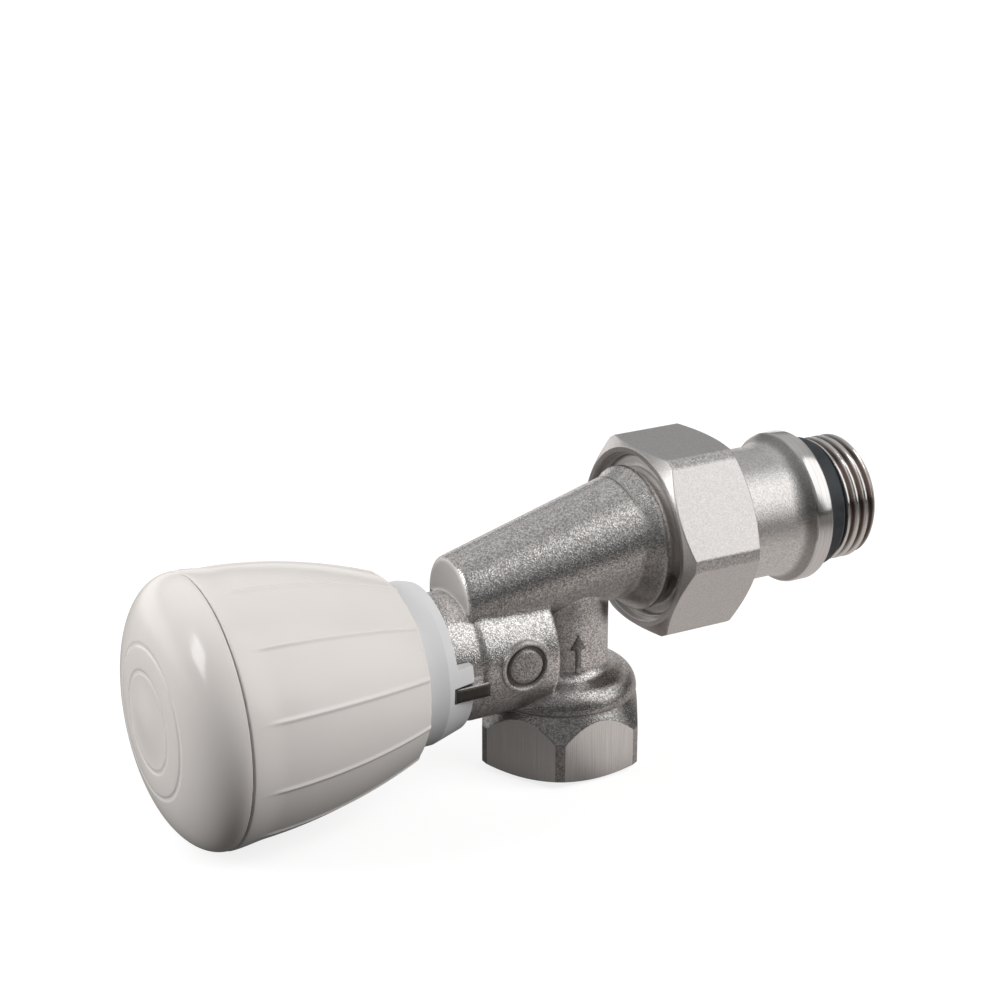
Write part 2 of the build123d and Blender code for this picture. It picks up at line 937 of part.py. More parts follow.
# Pusher on the web, which bears on the stem's tip, and the screw that holds it
with BuildPart() as pusher:
    revolve(
        turned(
            knob_plane,
            [
                (web_rear, 0),
                (web_rear, pusher_head_r),
                (web_rear + pusher_head_thickness, pusher_head_r),
                (web_rear + pusher_head_thickness + pusher_head_r - pusher_r, pusher_r),
                (stem_tip - pusher_gap, pusher_r),
                (stem_tip - pusher_gap, 0),
            ],
        ),
        axis=knob_axis,
    )
    with BuildSketch(across(web_rear, knob_height)):
        Circle(screw_r + fit_clearance)
    extrude(amount=screw_length - web_thickness + fit_clearance, mode=Mode.SUBTRACT)
pusher.part.label = "pusher"

with BuildPart() as handwheel_screw:
    with BuildSketch(across(web_front, knob_height)):
        Circle(screw_r)
    extrude(amount=screw_length)
    with BuildSketch(across(web_front, knob_height)):
        Circle(screw_head_r)
    extrude(amount=-screw_head_height)
    with BuildSketch(across(web_front - screw_head_height, knob_height)):
        Rectangle(2 * screw_head_r, screw_slot)
        Rectangle(screw_slot, 2 * screw_head_r)
    extrude(amount=screw_head_height / 2, mode=Mode.SUBTRACT)
handwheel_screw.part.label = "handwheel_screw"

os.makedirs("parts", exist_ok=True)
for piece in (
    valve_body,
    tailpiece,
    union_nut,
    retaining_ring,
    union_seal,
    radiator_seal,
    bonnet,
    bonnet_seal,
    gland_screw,
    stem_seal,
    collar,
    stem,
    obturator,
    obturator_gasket,
    gasket_retainer,
    stem_clip,
    return_spring,
    handwheel_shell,
    handwheel_cap,
    threaded_hub,
    pusher,
    handwheel_screw,
):
    export_step(piece.part, f"parts/{piece.part.label}.step")
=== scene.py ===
"""Looks of the angle radiator valve: nickel-plated forging, turned union and tail, white handwheel."""

import json
import math

import bmesh
import bpy
import numpy as np
from mathutils import Matrix, Vector


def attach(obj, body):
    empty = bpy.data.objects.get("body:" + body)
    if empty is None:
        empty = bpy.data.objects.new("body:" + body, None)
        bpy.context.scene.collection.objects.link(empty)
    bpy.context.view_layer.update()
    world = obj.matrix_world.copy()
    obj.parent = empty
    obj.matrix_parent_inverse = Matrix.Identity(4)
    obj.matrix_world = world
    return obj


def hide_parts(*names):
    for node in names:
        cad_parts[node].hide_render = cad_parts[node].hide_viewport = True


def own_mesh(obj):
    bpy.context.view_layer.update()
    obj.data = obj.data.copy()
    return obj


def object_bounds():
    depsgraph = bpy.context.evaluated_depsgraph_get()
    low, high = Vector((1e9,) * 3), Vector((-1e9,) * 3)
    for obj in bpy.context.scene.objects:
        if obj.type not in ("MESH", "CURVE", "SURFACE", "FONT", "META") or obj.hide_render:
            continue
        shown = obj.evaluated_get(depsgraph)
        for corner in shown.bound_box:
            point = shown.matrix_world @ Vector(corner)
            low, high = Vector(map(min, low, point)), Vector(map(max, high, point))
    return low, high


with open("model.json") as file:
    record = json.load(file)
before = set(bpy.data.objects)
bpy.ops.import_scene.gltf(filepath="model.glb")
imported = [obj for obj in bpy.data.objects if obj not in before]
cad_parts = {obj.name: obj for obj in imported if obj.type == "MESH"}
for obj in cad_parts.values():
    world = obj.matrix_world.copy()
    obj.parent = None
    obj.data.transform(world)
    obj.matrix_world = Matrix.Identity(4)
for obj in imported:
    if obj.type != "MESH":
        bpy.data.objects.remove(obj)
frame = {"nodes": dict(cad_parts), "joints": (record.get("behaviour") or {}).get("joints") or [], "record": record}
cad_low, cad_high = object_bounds()
nodes = frame["nodes"]
mm = 0.001

# Axes read from the frame: the tail's from its mount, the handwheel's from its joint
mounts = {m["name"]: m for m in frame["record"]["mounts"]}
joints = {j["name"]: j for j in frame["joints"]}
tail_height = mounts["radiator_tail"]["pos_m"][2]
knob_height = joints["handwheel_turn"]["pos_m"][2]

# Camera: where the photograph was taken from, and where it looks
image_size = 1000
sensor_width = 36.0
focal_pixels = 2262.0
camera_from_meeting = (-0.17270, -0.28774, 0.13032)
aim_azimuth = math.radians(29.318)
aim_elevation = math.radians(19.934)

# Handwheel, in millimetres from the part's origin
shell_rear, shell_front = -31.0, -62.6
shell_rear_r, shell_front_r = 15.35, 21.2
shell_crown = 1.62
shell_rim_round = 0.55
shell_seam_round = 0.3
facet_count = 12
facet_bite = 0.1
facet_runout = 5.6
facet_sag = 0.14
ridge_height = 0.2
ridge_half_width = 0.32
mouth_wall = 1.3
shell_wall = 2.0
web_front, web_rear = -59.6, -57.6
screw_hole_r = 1.55
cap_seam, cap_front = -62.85, -70.4
cap_seam_r, cap_flat_r = 21.1, 7.1
cap_crown = 0.4
cap_wall = 2.0
cap_rim_round = 0.25
cap_rings = (11.6, 7.6)
cap_ring_depth = 0.13
cap_ring_width = 0.28
cap_spigot_end = -60.65
cap_spigot_r, cap_hollow_r = 19.15, 17.75

# Radiator tail
tail_head, tail_end = 21.2, 55.2
tail_shell_r = 10.95
tail_head_chamfer = 1.0
tail_cone_left, flange_left, flange_right = 38.0, 41.5, 44.4
flange_r = 12.65
flange_edge = 0.3
flare_lead, flare_gap = 0.4, 0.25
flare_power = 2.2
seal_seat_r = 9.3
thread_left = 48.4
thread_r = 10.4775
thread_pitch = 1.814
thread_depth = 1.0
thread_lead = 0.5
thread_crest = 1.25
tail_end_chamfer = 0.9
tail_bore_r = 7.4
key_half = 6.0
key_length = 12.0
key_chamfer = 0.3
key_corner_sharpness = 400
groove_left, groove_right, groove_floor_r = 23.55, 24.85, 10.3

# Return spring, from the clip on the stem to the floor of its pocket
spring_left, spring_floor = -33.55, -25.05
spring_wire = 0.7
spring_turns = 4.0
spring_mean_r = 3.1

# Flow arrow raised on the front of the leg, and the thread in the pipe socket
leg_r = 7.7
arrow_x = -1.2
arrow_foot, arrow_neck, arrow_tip = 16.8, 20.9, 23.3
arrow_shaft_half, arrow_head_half = 0.42, 1.25
arrow_rise, arrow_sink = 0.3, 0.25
socket_bore_r = 9.32
socket_thread_foot, socket_thread_top = 1.0, 11.6
socket_thread_rise = 0.5

# Places on the body, nut and tail that their materials know
flat_reach, flat_top, flat_inner_r = 12.7, 11.2, 12.2
mouth_cut, union_cut = 0.6, 13.3
duct_end_rise = 9.0
boss_front = -7.0
lug_right, lug_front = -19.8, -10.35
lug_drop, lug_half = 1.0, 1.2
badge_x, badge_rise = -12.6, 0.5
badge_half_width, badge_half_height = 4.2, 4.1
land_top, shoulder_top = 12.5, 16.5
underside_low, underside_high = 24.0, 27.0
crease_reach = 9.0
nut_land_r = 16.72
hollow_left, hollow_right = 39.0, 41.5

# Studio: the floor's radius and its gap under the part in metres, the edge of the painted pool of light on the
# floor, and colours
floor_radius = 2.4
floor_gap = 0.0003
painted_pool_edge = math.radians(14)
white = (1, 1, 1, 1)
ambient = 0.06
ambient_hue = (1, 0.93, 0.89, 1)
painted_pool_hue = (1, 0.94, 0.91, 1)
floor_painted_dark, floor_pale = (0.06, 0.06, 0.06, 1), (0.3, 0.3, 0.3, 1)


class Graph:
    """Short words for placing and joining shader nodes in one tree."""

    def __init__(self, tree):
        self.tree = tree

    def add(self, kind, inputs=None, **settings):
        """A node of a kind, with its settings, and its inputs either set or joined."""
        node = self.tree.nodes.new(kind)
        for name, value in settings.items():
            setattr(node, name, value)
        for key, value in (inputs or {}).items():
            self.put(node.inputs[key], value)
        return node

    def put(self, socket, value):
        """Join an output to the socket, or set the socket's own value."""
        if isinstance(value, bpy.types.NodeSocket):
            self.tree.links.new(value, socket)
        else:
            socket.default_value = value

    def math(self, operation, a, b=0.0, clamp=False):
        """One sum of two values."""
        node = self.add("ShaderNodeMath", {0: a, 1: b}, operation=operation, use_clamp=clamp)
        return node.outputs[0]

    def times(self, *values):
        """The values multiplied together."""
        result = values[0]
        for value in values[1:]:
            result = self.math("MULTIPLY", result, value)
        return result

    def most(self, *values):
        """The largest of the values."""
        result = values[0]
        for value in values[1:]:
            result = self.math("MAXIMUM", result, value)
        return result

    def below(self, value, limit):
        """1 where the value is under the limit."""
        return self.math("LESS_THAN", value, limit)

    def above(self, value, limit):
        """1 where the value is over the limit."""
        return self.math("GREATER_THAN", value, limit)

    def off(self, value, middle):
        """How far the value is from a middle, either way."""
        return self.math("ABSOLUTE", self.math("SUBTRACT", value, middle))

    def length(self, a, b):
        """Length of the line across the sides a and b."""
        return self.math("SQRT", self.math("ADD", self.times(a, a), self.times(b, b)))

    def dot(self, a, b):
        """Product of two vectors along each other."""
        return self.add("ShaderNodeVectorMath", {0: a, 1: b}, operation="DOT_PRODUCT").outputs["Value"]

    def step(self, value, low, high, out_low=0.0, out_high=1.0):
        """A smooth rise from out_low to out_high while value goes from low to high."""
        node = self.add(
            "ShaderNodeMapRange",
            {"Value": value, "From Min": low, "From Max": high, "To Min": out_low, "To Max": out_high},
            interpolation_type="SMOOTHSTEP",
        )
        return node.outputs["Result"]

    def blend(self, factor, a, b):
        """Colour a where factor is 0, colour b where it is 1."""
        node = self.add("ShaderNodeMix", {"Factor": factor}, data_type="RGBA")
        self.put(node.inputs[6], a)
        self.put(node.inputs[7], b)
        return node.outputs[2]

    def between(self, factor, a, b):
        """Value a where factor is 0, value b where it is 1."""
        node = self.add("ShaderNodeMix", {"Factor": factor, 2: a, 3: b}, data_type="FLOAT")
        return node.outputs[0]

    def noise(self, where, scale, detail=2.0, roughness=0.5):
        """Cloudy noise of a size given by its scale."""
        node = self.add(
            "ShaderNodeTexNoise",
            {"Vector": where, "Scale": scale, "Detail": detail, "Roughness": roughness},
        )
        return node.outputs["Fac"]

    def parts(self, where):
        """The three coordinates of a vector."""
        node = self.add("ShaderNodeSeparateXYZ", {0: where})
        return node.outputs["X"], node.outputs["Y"], node.outputs["Z"]


def new_group(name, inputs, outputs):
    """An empty shader group with named value or vector inputs and outputs."""
    tree = bpy.data.node_groups.new(name, "ShaderNodeTree")
    for label, kind, default in inputs:
        socket = tree.interface.new_socket(label, in_out="INPUT", socket_type=kind)
        if default is not None:
            socket.default_value = default
    for label, kind in outputs:
        tree.interface.new_socket(label, in_out="OUTPUT", socket_type=kind)
    graph = Graph(tree)
    return graph, tree.nodes.new("NodeGroupInput").outputs, tree.nodes.new("NodeGroupOutput").inputs


VALUE, PLACE = "NodeSocketFloat", "NodeSocketVector"


def make_blasted_grain():
    """Grain of a shot-blasted forging: small round dents, each with its own tone, over coarser waves."""
    graph, given, out = new_group(
        "blasted_grain",
        [("Place", PLACE, None), ("Grains per metre", VALUE, 3000.0), ("Contrast", VALUE, 1.0)],
        [("Height", VALUE), ("Tone", VALUE)],
    )
    grains = given["Grains per metre"]
    dents = graph.add("ShaderNodeTexVoronoi", {"Vector": given["Place"], "Scale": grains})
    bowl = graph.times(dents.outputs["Distance"], dents.outputs["Distance"])
    coarse = graph.noise(given["Place"], graph.times(grains, 0.3))
    graph.put(out["Height"], graph.math("ADD", bowl, graph.times(coarse, 0.5)))
    fine = graph.noise(given["Place"], graph.times(grains, 0.7))
    mixed = graph.between(0.45, graph.parts(dents.outputs["Color"])[0], fine)
    lifted = graph.times(graph.math("SUBTRACT", mixed, 0.5), given["Contrast"])
    graph.put(out["Tone"], graph.math("ADD", lifted, 0.5, clamp=True))
    return graph.tree


def make_tool_marks():
    """Fine lines left by a cutter: noise drawn out along the lines, thin across them."""
    graph, given, out = new_group(
        "tool_marks",
        [("Across", VALUE, 0.0), ("Along", VALUE, 0.0), ("Lines per metre", VALUE, 6000.0)],
        [("Height", VALUE), ("Tone", VALUE)],
    )
    across = graph.times(given["Across"], given["Lines per metre"])
    along = graph.times(given["Along"], given["Lines per metre"], 0.02)
    where = graph.add("ShaderNodeCombineXYZ", {"X": across, "Y": along}).outputs[0]
    lines = graph.noise(where, 1.0, 3.0, 0.6)
    graph.put(out["Height"], lines)
    graph.put(out["Tone"], graph.step(lines, 0.3, 0.7))
    return graph.tree


def make_edge_round_and_highlight():
    """Where an edge is near: the rounded normal leaves the face's own; the Edge mask, on outer and inner edges
    alike, is where the metals paint a highlight, partly standing for worn edges.
    """
    graph, given, out = new_group(
        "edge_round_and_highlight",
        [("Radius", VALUE, 0.0002)],
        [("Normal", PLACE), ("Edge", VALUE)],
    )
    rounded = graph.add("ShaderNodeBevel", {"Radius": given["Radius"]}, samples=6).outputs["Normal"]
    flat = graph.add("ShaderNodeNewGeometry").outputs["Normal"]
    graph.put(out["Normal"], rounded)
    graph.put(out["Edge"], graph.step(graph.dot(rounded, flat), 0.999, 0.9))
    return graph.tree


def make_crease_shade():
    """Where the surface folds in on itself: little of the sky over the point is open within the reach."""
    graph, given, out = new_group("crease_shade", [("Reach", VALUE, 0.001)], [("Crease", VALUE)])
    open_sky = graph.add("ShaderNodeAmbientOcclusion", {"Distance": given["Reach"]}, samples=4)
    graph.put(out["Crease"], graph.step(open_sky.outputs["AO"], 0.85, 0.2))
    return graph.tree


def make_moulded_skin():
    """Skin of moulded plastic: faint waviness, fine specks and a slow drift of its tone."""
    graph, given, out = new_group(
        "moulded_skin",
        [("Place", PLACE, None), ("Specks per metre", VALUE, 4000.0)],
        [("Height", VALUE), ("Tone", VALUE), ("Sheen", VALUE)],
    )
    wave = graph.noise(given["Place"], 90.0, 1.0)
    speck = graph.noise(given["Place"], given["Specks per metre"])
    graph.put(out["Height"], graph.math("ADD", graph.times(wave, 0.6), graph.times(speck, 0.06)))
    graph.put(out["Tone"], graph.step(graph.noise(given["Place"], 45.0, 3.0), 0.3, 0.7))
    graph.put(out["Sheen"], graph.step(graph.noise(given["Place"], 260.0, 4.0), 0.3, 0.75))
    return graph.tree


blasted_grain = make_blasted_grain()
tool_marks = make_tool_marks()
edge_round_and_highlight = make_edge_round_and_highlight()
crease_shade = make_crease_shade()
moulded_skin = make_moulded_skin()


class Finish:
    """One material: a Principled shader, the Object coordinates, and the groups placed in it."""

    def __init__(self, name, **constants):
        self.material = bpy.data.materials.new(name)
        self.material.use_nodes = True
        tree = self.material.node_tree
        tree.nodes.clear()
        self.graph = Graph(tree)
        self.shader = self.graph.add("ShaderNodeBsdfPrincipled")
        self.graph.add("ShaderNodeOutputMaterial", {"Surface": self.shader.outputs[0]})
        self.place = self.graph.add("ShaderNodeTexCoord").outputs["Object"]
        for socket, value in constants.items():
            self.shader.inputs[socket.replace("_", " ")].default_value = value

    def group(self, tree, **inputs):
        """A shared group placed here with its own values."""
        node = self.graph.tree.nodes.new("ShaderNodeGroup")
        node.node_tree = tree
        for name, value in inputs.items():
            self.graph.put(node.inputs[name.replace("_", " ")], value)
        return node.outputs

    def axis_radius(self, height):
        """The place along X, the distance from the line along X at a height, and the angle about it."""
        x, y, z = self.graph.parts(self.place)
        up = self.graph.math("SUBTRACT", z, height)
        return x, self.graph.length(y, up), self.graph.math("ARCTAN2", up, y)

    def set(self, **inputs):
        """Join or set sockets of the shader."""
        for name, value in inputs.items():
            self.graph.put(self.shader.inputs[name.replace("_", " ")], value)

    def bump(self, height, depth, normal=None):
        """A bump of a depth in metres, on top of another normal if one is given."""
        node = self.graph.add("ShaderNodeBump", {"Height": height, "Distance": depth})
        if normal is not None:
            self.graph.put(node.inputs["Normal"], normal)
        return node.outputs["Normal"]


nickel_dark = (0.42, 0.398, 0.385, 1)
nickel_pale = (1.0, 0.975, 0.955, 1)
# Colour that painted shade and the lug's dark reflection are painted in
nickel_painted_shade = (0.085, 0.074, 0.068, 1)
hollow_shade = (0.12, 0.105, 0.098, 1)
root_shade = (0.2, 0.152, 0.13, 1)


def nickel_forging():
    """The body: a blasted forging, with milled flats and cut ends; the index lug is painted dark as a dark
    reflection, and the shoulder, creases, undersides, badge and flow arrow are painted darker as shade.
    """
    f = Finish("nickel_forging", Metallic=1.0)
    g = f.graph
    x, y, z = g.parts(f.place)
    normal = g.add("ShaderNodeNewGeometry").outputs["True Normal"]
    nx, ny, nz = g.parts(normal)
    pipe_r = g.length(x, y)

    # Smooth faces: the milled flats of the hexagon, the end of the duct, and the cut ends
    milled = g.times(
        g.below(g.math("ABSOLUTE", nz), 0.05),
        g.below(g.dot(f.place, normal), flat_reach * mm),
        g.below(z, flat_top * mm),
        g.above(pipe_r, flat_inner_r * mm),
    )
    duct_end = g.times(g.below(nx, -0.9), g.above(z, knob_height + duct_end_rise * mm))
    cut = g.most(g.above(x, union_cut * mm), g.below(z, mouth_cut * mm))
    smooth = g.most(milled, duct_end, cut)
    forged = g.math("SUBTRACT", 1.0, smooth)

    # Marks on the front: the lug, the badge with its groove, and the arrow; below, the lug is painted dark as a
    # dark reflection, and the badge's floor, its groove and the arrow are painted darker as shade
    front = g.below(y, boss_front * mm)
    lug = g.times(
        g.below(x, lug_right * mm),
        g.below(y, lug_front * mm),
        g.below(g.off(z, knob_height - lug_drop * mm), lug_half * mm),
        g.below(ny, -0.6),
    )
    badge_r = g.length(
        g.math("DIVIDE", g.math("SUBTRACT", x, badge_x * mm), badge_half_width * mm),
        g.math("DIVIDE", g.math("SUBTRACT", z, knob_height + badge_rise * mm), badge_half_height * mm),
    )
    groove = g.times(g.step(badge_r, 0.62, 0.7), g.step(badge_r, 0.9, 0.82), front)
    badge_floor = g.times(g.step(badge_r, 0.7, 0.6), front)
    arrow = g.times(
        g.step(pipe_r, (leg_r + 0.02) * mm, (leg_r + 0.1) * mm),
        g.below(pipe_r, (leg_r + 0.4) * mm),
        g.below(g.off(x, arrow_x * mm), 1.6 * mm),
        g.step(z, (arrow_foot + 0.8) * mm, (arrow_foot + 1.1) * mm),
        g.step(z, (arrow_tip + 0.3) * mm, (arrow_tip + 0.1) * mm),
        g.below(y, -6 * mm),
    )

    # Tone: grain or brushed lines, paler on edges and the parting line, partly wear and partly painted highlight,
    # and darker where shade is painted
    grain = f.group(blasted_grain, Place=f.place, Grains_per_metre=5400.0, Contrast=2.1)
    around = g.times(g.math("ARCTAN2", y, x), 12 * mm)
    brushed = f.group(tool_marks, Across=around, Along=z, Lines_per_metre=5200.0)
    edge = f.group(edge_round_and_highlight, Radius=g.step(z, 12.5 * mm, 14.5 * mm, 0.4 * mm, 1.0 * mm))
    smooth_tone = g.between(duct_end, g.between(brushed["Tone"], 0.75, 0.95), 1.0)
    colour = g.blend(g.between(smooth, grain["Tone"], smooth_tone), nickel_dark, nickel_pale)
    # Parting line: a low ridge in the bump, and a painted highlight in its paler tone
    parting = g.times(
        g.step(g.math("ABSOLUTE", y), 0.8 * mm, 0.2 * mm),
        g.step(z, 13 * mm, 14 * mm),
        forged,
    )
    # Painted highlight along edges and the parting line, partly standing for worn edges
    wear_and_highlight = g.most(g.times(parting, 0.35), g.times(edge["Edge"], 0.5))
    colour = g.blend(wear_and_highlight, colour, nickel_pale)
    # Painted shade: forged surfaces from the shoulder down are darkened, which takes a highlight of the key lamp
    # off the shoulder
    land = g.times(g.step(z, shoulder_top * mm, land_top * mm), forged)
    # Painted shade: downward-facing surfaces high on the body, from underside_low up, are darkened
    under = g.times(g.step(nz, 0.3, -0.4), g.step(z, underside_low * mm, underside_high * mm))
    # Painted shade in creases, from how little sky a point sees within the reach
    crease = g.times(
        f.group(crease_shade, Reach=crease_reach * mm)["Crease"],
        g.step(x, 7 * mm, 9.5 * mm, 0.6, 0.3),
    )
    crease_and_underside_shade = g.times(g.most(g.times(under, 0.6), crease), g.math("SUBTRACT", 1.0, duct_end))
    # Painted shade on the shoulder and lands, badge floor, creases, undersides, groove and arrow; the lug painted
    # dark as a dark reflection
    painted_shade = g.most(
        g.times(land, 0.45),
        g.times(badge_floor, 0.4),
        crease_and_underside_shade,
        g.times(groove, 0.85),
        g.times(arrow, 0.6),
        g.times(lug, 0.95),
    )
    f.set(Base_Color=g.blend(painted_shade, colour, nickel_painted_shade))
    smooth_roughness = g.between(duct_end, 0.24, 0.5)
    f.set(Roughness=g.between(smooth, g.between(grain["Tone"], 0.25, 0.16), smooth_roughness))
    relief = g.math("ADD", g.times(grain["Height"], 0.03), g.times(parting, 0.07))
    height = g.between(smooth, relief, g.times(brushed["Height"], 0.04))
    f.set(Normal=f.bump(height, 0.8 * mm, edge["Normal"]))
    return f.material


def tail_nickel():
    """The tail: a finely blasted shell, a bright turned flange, and a cut thread, with painted shade in the
    thread's roots and in the hollow of the flare before the flange.
    """
    f = Finish("tail_nickel", Metallic=1.0)
    g = f.graph
    x, radius, angle = f.axis_radius(tail_height)
    along = g.times(angle, 10 * mm)
    marks = f.group(tool_marks, Across=g.math("ADD", x, radius), Along=along, Lines_per_metre=5200.0)
    grain = f.group(blasted_grain, Place=f.place, Grains_per_metre=4200.0, Contrast=1.2)
    edge = f.group(edge_round_and_highlight, Radius=0.2 * mm)
    turned = g.above(x, (flange_left - 0.3) * mm)
    threaded = g.times(
        g.step(x, (flange_right + 0.3) * mm, (flange_right + 0.5) * mm),
        g.step(x, (tail_end - 0.1) * mm, (tail_end - 0.4) * mm),
        g.above(radius, 8.8 * mm),
    )
    tone = g.between(turned, g.between(grain["Tone"], 0.35, 1.0), g.between(marks["Tone"], 0.55, 0.85))
    colour = g.blend(tone, nickel_dark, nickel_pale)
    # Painted shade in the hollow of the flare before the flange
    hollow = g.times(
        g.step(x, hollow_left * mm, (hollow_left + 1.4) * mm),
        g.step(x, hollow_right * mm, (hollow_right - 0.4) * mm),
    )
    colour = g.blend(g.times(hollow, 0.6), colour, hollow_shade)
    # Painted shade in the roots of the thread
    root = g.step(radius, (thread_r - 0.1) * mm, (thread_r - 0.6) * mm)
    f.set(Base_Color=g.blend(g.times(threaded, root, 0.85), colour, root_shade))
    f.set(Roughness=g.between(turned, 0.32, g.between(marks["Tone"], 0.2, 0.14)))
    height = g.between(turned, g.times(grain["Height"], 0.26), g.times(marks["Height"], 0.06))
    f.set(Normal=f.bump(height, 0.12 * mm, edge["Normal"]))
    return f.material


def nut_nickel():
    """Union nut: finely grained flats, and coarser forged lands at the corners."""
    f = Finish("nut_nickel", Metallic=1.0)
    g = f.graph
    x, radius, angle = f.axis_radius(tail_height)
    land = g.above(radius, nut_land_r * mm)
    grain = f.group(blasted_grain, Place=f.place, Grains_per_metre=4300.0, Contrast=1.2)
    fine = f.group(blasted_grain, Place=f.place, Grains_per_metre=6500.0, Contrast=0.5)
    edge = f.group(edge_round_and_highlight, Radius=0.3 * mm)
    colour = g.blend(g.between(land, fine["Tone"], grain["Tone"]), nickel_dark, nickel_pale)
    # Painted highlight along the nut's edges, partly standing for worn edges
    f.set(Base_Color=g.blend(g.times(edge["Edge"], 0.6), colour, nickel_pale))
    f.set(Roughness=g.between(land, 0.3, 0.4))
    height = g.between(land, g.times(fine["Height"], 0.02), g.times(grain["Height"], 0.15))
    f.set(Normal=f.bump(height, 0.2 * mm, edge["Normal"]))
    return f.material


def plain_metal(name, dark, pale, roughness, height, lines):
    """Bare turned metal of the inner pieces: rings of the tool and a slow drift of tarnish."""
    f = Finish(name, Metallic=1.0)
    g = f.graph
    x, radius, angle = f.axis_radius(height)
    along = g.times(angle, 5 * mm)
    marks = f.group(tool_marks, Across=g.math("ADD", x, radius), Along=along, Lines_per_metre=lines)
    drift = g.noise(f.place, 400.0, 3.0)
    f.set(Base_Color=g.blend(g.between(0.5, marks["Tone"], drift), dark, pale))
    f.set(Roughness=g.between(marks["Tone"], roughness + 0.08, roughness))
    f.set(Normal=f.bump(marks["Height"], 0.01 * mm))
    return f.material


def rubber():
    """Sealing rubber: nearly black, with a slight bloom that lightens it in patches."""
    f = Finish("rubber", IOR=1.5)
    g = f.graph
    bloom = g.step(g.noise(f.place, 700.0, 4.0), 0.35, 0.75)
    f.set(Base_Color=g.blend(bloom, (0.022, 0.026, 0.029, 1), (0.04, 0.046, 0.05, 1)))
    f.set(Roughness=g.between(bloom, 0.42, 0.6))
    f.set(Normal=f.bump(g.noise(f.place, 3500.0, 2.0), 0.02 * mm))
    return f.material


def white_moulding(name, shade, pale, roughness, edge_radius, specks):
    """White moulded plastic: a warm or cool white, softly glossy."""
    f = Finish(name, IOR=1.5)
    g = f.graph
    skin = f.group(moulded_skin, Place=f.place, Specks_per_metre=specks)
    f.set(Base_Color=g.blend(skin["Tone"], shade, pale))
    f.set(Roughness=g.between(skin["Sheen"], roughness, roughness + 0.07))
    normal = f.group(edge_round_and_highlight, Radius=edge_radius)["Normal"] if edge_radius else None
    f.set(Normal=f.bump(skin["Height"], 0.05 * mm, normal))
    return f.material


def mesh_of(name, points, faces, sharp=35.0):
    """A mesh from point and face arrays, its doubles merged, smooth but for edges past an angle."""
    mesh = bpy.data.meshes.new(name)
    mesh.from_pydata(points.reshape(-1, 3) * mm, [], faces.tolist())
    work = bmesh.new()
    work.from_mesh(mesh)
    bmesh.ops.remove_doubles(work, verts=work.verts, dist=1e-7)
    bmesh.ops.dissolve_degenerate(work, edges=work.edges, dist=1e-8)
    bmesh.ops.recalc_face_normals(work, faces=work.faces)
    work.to_mesh(mesh)
    work.free()
    mesh.polygons.foreach_set("use_smooth", np.ones(len(mesh.polygons), dtype=bool))
    mesh.set_sharp_from_angle(angle=math.radians(sharp))
    piece = bpy.data.objects.new(name, mesh)
    bpy.context.scene.collection.objects.link(piece)
    return piece


def grid_faces(rows, columns, close_rows):
    """Quads over a grid whose columns always close, and whose rows close if asked."""
    last = rows if close_rows else rows - 1
    i, j = np.meshgrid(np.arange(last), np.arange(columns), indexing="ij")
    below, beside = (i + 1) % rows, (j + 1) % columns
    here, under = i * columns, below * columns
    quads = np.stack((here + j, here + beside, under + beside, under + j), axis=-1)
    return quads.reshape(-1, 4)


def turned_piece(name, x, radius, height, close_rows=True, sharp=35.0):
    """Rows of circles along X: row i has the places x[i] and, for each angle, the radius[i, angle]."""
    rows, columns = radius.shape
    angle = np.linspace(0, 2 * np.pi, columns, endpoint=False)
    along = np.broadcast_to(np.asarray(x).reshape(rows, -1), radius.shape)
    points = np.stack((along, radius * np.cos(angle), height / mm + radius * np.sin(angle)), axis=-1)
    return mesh_of(name, points, grid_faces(rows, columns, close_rows), sharp)


def polygon_ratio(angle, sides, first, sharpness):
    """A regular polygon's radius over its inner radius: one over its sides' softened largest cosine."""
    centres = first + np.arange(sides) * 2 * np.pi / sides
    cosines = np.clip(np.cos(angle[:, None] - centres), 0, 1)
    return (cosines ** sharpness).sum(axis=1) ** (-1 / sharpness)


def smooth_rise(t):
    """0 up to t = 0, 1 from t = 1, with level ends: 3t^2 - 2t^3."""
    t = np.clip(t, 0, 1)
    return t * t * (3 - 2 * t)


def shell_radius(x):
    """The crowned taper: a straight line from rear to front plus a parabola that is shell_crown high."""
    t = (shell_rear - x) / (shell_rear - shell_front)
    return shell_rear_r + (shell_front_r - shell_rear_r) * t + 4 * shell_crown * t * (1 - t)


